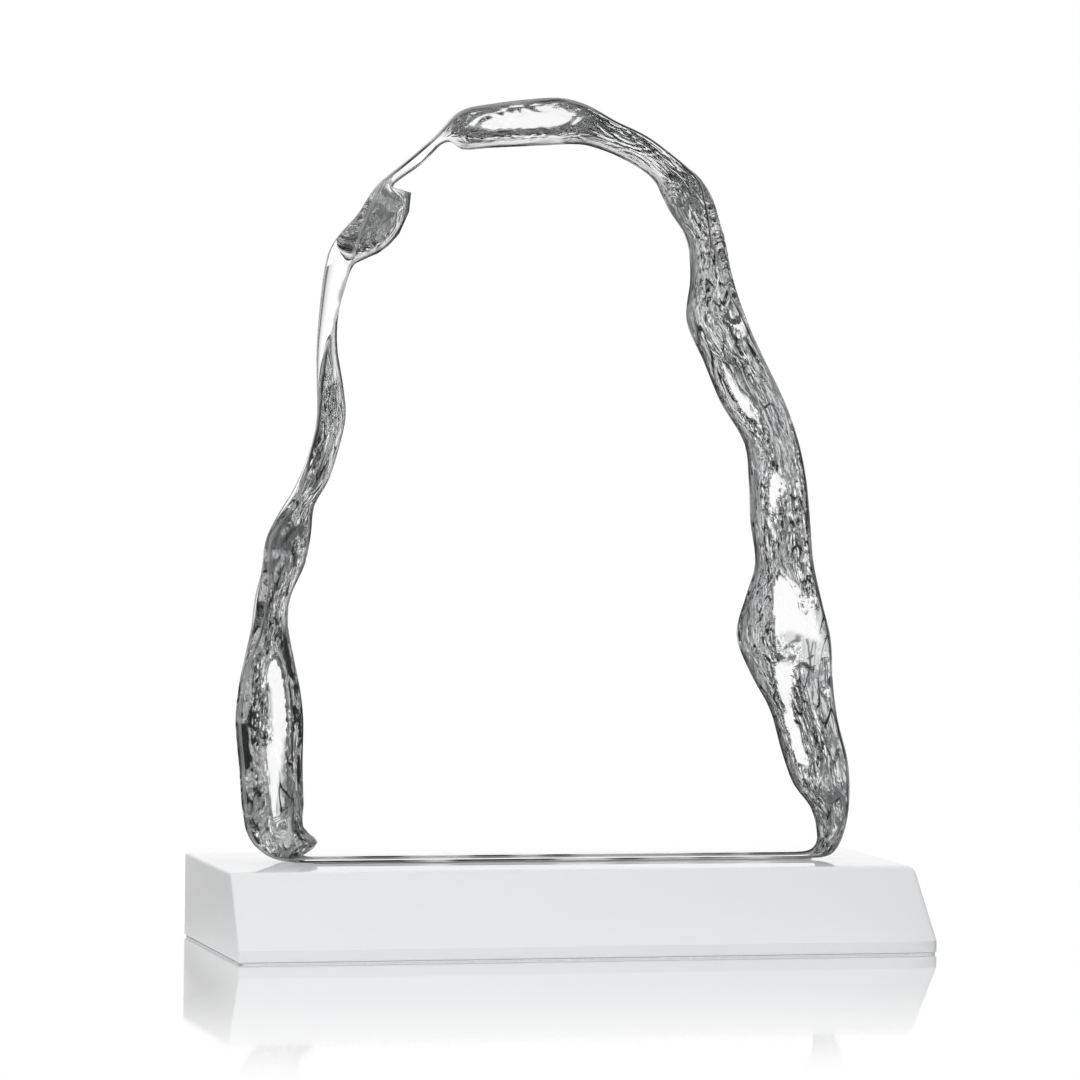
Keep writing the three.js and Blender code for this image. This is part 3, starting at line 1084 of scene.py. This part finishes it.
    def close_faces(self, piece: bpy.types.Object, front: float, back: float) -> None:
        """Fill the front and back outlines with flat faces.

        Args:
            piece: object that holds the grown band.
            front: depth of the front face.
            back: depth of the back face.
        """
        mesh = bmesh.new()
        mesh.from_mesh(piece.data)
        rims = [edge for edge in mesh.edges if edge.is_boundary]
        for edge in rims:
            for corner in edge.verts:
                corner.co.y = front if abs(corner.co.y - front) < abs(corner.co.y - back) else back
        filled = bmesh.ops.edgeloop_fill(mesh, edges=rims)["faces"]
        bmesh.ops.recalc_face_normals(mesh, faces=mesh.faces)
        for face in filled:
            face.smooth = False
            face.material_index = 1
        mesh.to_mesh(piece.data)
        mesh.free()
        piece.data.materials.append(self.finish.polished())


@dataclass
class BondFilm:
    """Bond under the crystal's ground foot, tinted dark as painted shade."""

    finish: BondFinish = field(default_factory=BondFinish)
    clearance: float = 0.02 * MM

    def build(self) -> bpy.types.Object:
        """Make the film, a trace thinner than its gap, and seat it.

        Returns:
            The finished piece.
        """
        low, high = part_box(CadNode.BOND.value)
        mesh = merged_copy(CadNode.BOND)
        middle = (low.z + high.z) / 2
        share = 1 - 2 * self.clearance / (high.z - low.z)
        for corner in mesh.verts:
            corner.co.z = middle + (corner.co.z - middle) * share
        piece = piece_from(mesh, "clear_bond_film", self.finish.material())
        piece.visible_shadow = False
        seat(piece, CadNode.BOND)
        return piece


@dataclass
class Plinth:
    """White plinth with a sloping front."""

    finish: PlinthFinish = field(default_factory=PlinthFinish)
    flat_angle: float = math.radians(0.5)
    smooth_angle: float = math.radians(20)

    def build(self) -> bpy.types.Object:
        """Make the plinth with smooth rounded edges and seat it.

        Returns:
            The finished piece.
        """
        mesh = merged_copy(CadNode.PLINTH)
        bmesh.ops.dissolve_limit(mesh, angle_limit=self.flat_angle, verts=mesh.verts, edges=mesh.edges)
        for face in mesh.faces:
            face.smooth = True
        for edge in mesh.edges:
            edge.smooth = edge.calc_face_angle(0.0) < self.smooth_angle
        piece = piece_from(mesh, "glossy_plinth", self.finish.material())
        seat(piece, CadNode.PLINTH)
        return piece


@dataclass
class UndersidePad:
    """Foam pad under the plinth."""

    finish: PadFinish = field(default_factory=PadFinish)
    inset: float = 0.05 * MM

    def build(self) -> bpy.types.Object:
        """Make the pad, drawn out to just inside the plinth's edges, and seat it.

        Returns:
            The finished piece.
        """
        mesh = merged_copy(CadNode.PAD)
        low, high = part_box(CadNode.PAD.value)
        outer_low, outer_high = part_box(CadNode.PLINTH.value)
        for axis in (0, 1):
            share = (outer_high[axis] - outer_low[axis] - 2 * self.inset) / (high[axis] - low[axis])
            for corner in mesh.verts:
                corner.co[axis] *= share
        piece = piece_from(mesh, "foam_pad", self.finish.material())
        seat(piece, CadNode.PAD)
        return piece


@dataclass(frozen=True)
class Softbox:
    """Square lamp that faces the award, with its place and side in metres and its power in watts."""

    name: str
    place: tuple[float, float, float]
    size: float
    power: float
    aim: tuple[float, float, float] = (0.0, 0.0, 0.05)

    def hang(self) -> None:
        """Hang the lamp, unseen by the camera and in mirrors and glass."""
        data = bpy.data.lights.new(self.name, "AREA")
        data.shape = "SQUARE"
        data.size = self.size
        data.energy = self.power
        lamp = bpy.data.objects.new(self.name, data)
        lamp.location = self.place
        way = Vector(self.aim) - Vector(self.place)
        lamp.rotation_euler = way.to_track_quat("-Z", "Y").to_euler()
        lamp.visible_camera = False
        lamp.visible_glossy = False
        lamp.visible_transmission = False
        bpy.context.scene.collection.objects.link(lamp)


@dataclass
class Studio:
    """White floor and backdrop, soft lamps and a camera at the photograph's place."""

    bounces: int = 16
    inner_bounces: int = 6
    half_floor: float = 1.2
    floor_cuts: int = 8
    drop: float = 0.02 * MM
    floor_colour: Colour = (0.95, 0.95, 0.95)
    floor_roughness: float = 0.05
    floor_ior: float = 1.5
    sheen_fade: Fade = (0.04, 0.50, 0.0, 0.92)
    mirror_fade: Fade = (30 * MM, 250 * MM)
    side_fade: Fade = (-1 * MM, 3 * MM)
    blur_fade: Fade = (5 * MM, 80 * MM)
    blur_growth: float = 14.0
    behind_fade: Fade = (0.0, 30 * MM)
    behind_lift: float = 0.12
    floor_light: float = 0.22
    ambient: float = 0.45
    mirrored_light: float = 1.0
    studio_tint: Colour = (0.985, 1.0, 1.01)
    # Turn from straight behind the award, and the level that the crystal shows there.
    walls: tuple[tuple[float, float], ...] = (
        (-3.14, 0.95), (-1.6, 0.78), (-0.80, 0.60), (-0.70, 0.05), (-0.42, 0.05), (-0.33, 1.0),
        (0.40, 1.0), (0.75, 0.60), (0.82, 0.05), (1.08, 0.05), (1.2, 0.75), (3.14, 0.95),
    )
    reflector_fade: Fade = (-0.86, -0.93)
    lamps: tuple[Softbox, ...] = (
        Softbox("key_softbox", (-0.25, -0.6, 0.6), 0.5, 2.5),
        Softbox("overhead_softbox", (0.0, 0.2, 1.6), 1.6, 12.0),
    )
    lens: float = 175.0
    sensor: float = 36.0
    clip: tuple[float, float] = (0.05, 100.0)
    target: tuple[float, float, float] = (-7.892 * MM, 0.0, 120.214 * MM)
    distance: float = 1550.95 * MM
    yaw: float = 0.27269
    pitch: float = 0.0326
    roll: float = 0.01616

    def build(self) -> None:
        """Make the floor, the world, the lamps and the camera."""
        self.floor()
        self.world()
        for softbox in self.lamps:
            softbox.hang()
        self.camera()
        scene = bpy.context.scene
        scene.view_settings.view_transform = "Standard"
        scene.cycles.max_bounces = self.bounces
        scene.cycles.glossy_bounces = self.inner_bounces
        LOG.info("studio: floor, world, lamps and camera")

    def bearings(self) -> tuple[tuple[float, float, float], tuple[float, float, float]]:
        """Level directions away from the photograph's place and across to its right."""
        sine, cosine = math.sin(self.yaw), math.cos(self.yaw)
        return (sine, cosine, 0.0), (cosine, -sine, 0.0)

    def floor(self) -> None:
        """Lay a glossy white floor that turns to plain white away from the plinth."""
        mesh = bmesh.new()
        cuts = self.floor_cuts
        bmesh.ops.create_grid(mesh, x_segments=cuts, y_segments=cuts, size=self.half_floor)
        bmesh.ops.translate(mesh, verts=mesh.verts, vec=(0, 0, -self.drop))
        floor = piece_from(mesh, "white_floor", self.floor_material())

    def floor_material(self) -> bpy.types.Material:
        """Build the floor's material.

        Returns:
            A white that mirrors the award close in front of the plinth and is plain elsewhere.
        """
        material, graph, surface = bare_material("white_floor")
        place = object_place(graph)
        path = graph.node("ShaderNodeLightPath").outputs
        low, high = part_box(CadNode.PLINTH.value)
        half = ((high.x - low.x) / 2, (high.y - low.y) / 2, 0)
        outside = graph.vector("SUBTRACT", graph.vector("ABSOLUTE", place), half)
        away = graph.vector("LENGTH", graph.vector("MAXIMUM", outside, (0, 0, 0)))
        heading, across = self.bearings()
        depth = graph.vector("DOT_PRODUCT", place, heading)
        behind = graph.fade(depth, *self.behind_fade)
        matt = graph.node("ShaderNodeBsdfDiffuse", {"Color": rgba(self.floor_colour)}).outputs["BSDF"]
        gloss = {"Color": WHITE, "Roughness": self.floor_roughness}
        mirror = graph.node("ShaderNodeBsdfGlossy", gloss).outputs["BSDF"]
        grazing = graph.node("ShaderNodeFresnel", {"IOR": self.floor_ior}).outputs["Fac"]
        sheen = graph.fade(grazing, *self.sheen_fade)
        near = graph.mix_shaders(sheen, matt, mirror)
        lift = graph.times(graph.times(behind, sheen), self.behind_lift)
        lift = graph.times(lift, path["Is Camera Ray"])
        glow = graph.node("ShaderNodeEmission", {"Strength": lift}).outputs["Emission"]
        near = graph.node("ShaderNodeAddShader", {0: near, 1: glow}).outputs["Shader"]
        seen = graph.larger(path["Is Glossy Ray"], path["Is Transmission Ray"])
        seen = graph.larger(path["Is Camera Ray"], seen)
        level = graph.larger(seen, self.floor_light)
        white = graph.node("ShaderNodeEmission", {"Strength": level}).outputs["Emission"]
        reach = abs(half[0] * across[0]) + abs(half[1] * across[1])
        beside = graph.math("ABSOLUTE", graph.vector("DOT_PRODUCT", place, across))
        beside = graph.math("DIVIDE", beside, graph.math("MULTIPLY_ADD", depth, 1 / self.distance, 1.0))
        blur = graph.larger(behind, graph.fade(away, *self.blur_fade))
        spread = graph.math("MULTIPLY_ADD", blur, self.blur_growth, 1.0)
        past = graph.math("DIVIDE", graph.minus(beside, reach), spread)
        far = graph.fade(away, *self.mirror_fade)
        share = graph.larger(far, graph.fade(past, *self.side_fade))
        graph.feed(surface, graph.mix_shaders(share, near, white))
        return material

    def world(self) -> None:
        """White behind the award, grey at the sides of the studio, soft light all round."""
        world = bpy.data.worlds.new("studio")
        bpy.context.scene.world = world
        world.use_nodes = True
        graph = Graph(world.node_tree)
        way = graph.node("ShaderNodeTexCoord").outputs["Generated"]
        heading, across = self.bearings()
        along = graph.vector("DOT_PRODUCT", way, heading)
        turn = graph.math("ARCTAN2", graph.vector("DOT_PRODUCT", way, across), along)
        turned = graph.math("MULTIPLY_ADD", turn, 0.5 / math.pi, 0.5)
        ramp = graph.node("ShaderNodeValToRGB", {"Fac": turned})
        stops = ramp.color_ramp.elements
        ready = len(stops)
        for index, (angle, level) in enumerate(self.walls):
            stop = stops[index] if index < ready else stops.new(1.0)
            stop.position = 0.5 + 0.5 * angle / math.pi
            stop.color = (*(level * part for part in self.studio_tint), 1) if level < 1 else WHITE
        reflector = graph.fade(graph.parts(way)["Y"], *self.reflector_fade)
        around = graph.blend(reflector, ramp.outputs["Color"], WHITE)
        path = graph.node("ShaderNodeLightPath").outputs
        plain = graph.fade(path["Is Glossy Ray"], 0.0, 1.0, self.ambient, self.mirrored_light)
        plain = graph.larger(plain, path["Is Camera Ray"])
        shown = graph.blend(path["Is Transmission Ray"], graph.combined(X=plain, Y=plain, Z=plain), around)
        light = graph.node("ShaderNodeBackground", {"Color": shown}).outputs["Background"]
        graph.node("ShaderNodeOutputWorld", {"Surface": light})

    def camera(self) -> None:
        """Place the camera where the photograph was taken."""
        data = bpy.data.cameras.new("photo_camera")
        data.lens = self.lens
        data.sensor_width = self.sensor
        data.clip_start, data.clip_end = self.clip
        tilt = math.cos(self.pitch)
        back = Vector((-math.sin(self.yaw) * tilt, -math.cos(self.yaw) * tilt, math.sin(self.pitch)))
        level = (-back).cross(Vector((0, 0, 1))).normalized()
        rise = level.cross(-back)
        right = math.cos(self.roll) * level + math.sin(self.roll) * rise
        up = math.cos(self.roll) * rise - math.sin(self.roll) * level
        camera = bpy.data.objects.new("photo_camera", data)
        spot = Vector(self.target) + back * self.distance
        camera.matrix_world = Matrix.Translation(spot) @ Matrix((right, up, back)).transposed().to_4x4()
        bpy.context.scene.collection.objects.link(camera)
        bpy.context.scene.camera = camera


def main() -> None:
    """Build the award and its studio."""
    logging.basicConfig(level=logging.INFO, format="%(name)s %(message)s")
    Studio().build()
    UndersidePad().build()
    Plinth().build()
    BondFilm().build()
    IcebergCrystal().build()


if __name__ == "__main__":
    main()
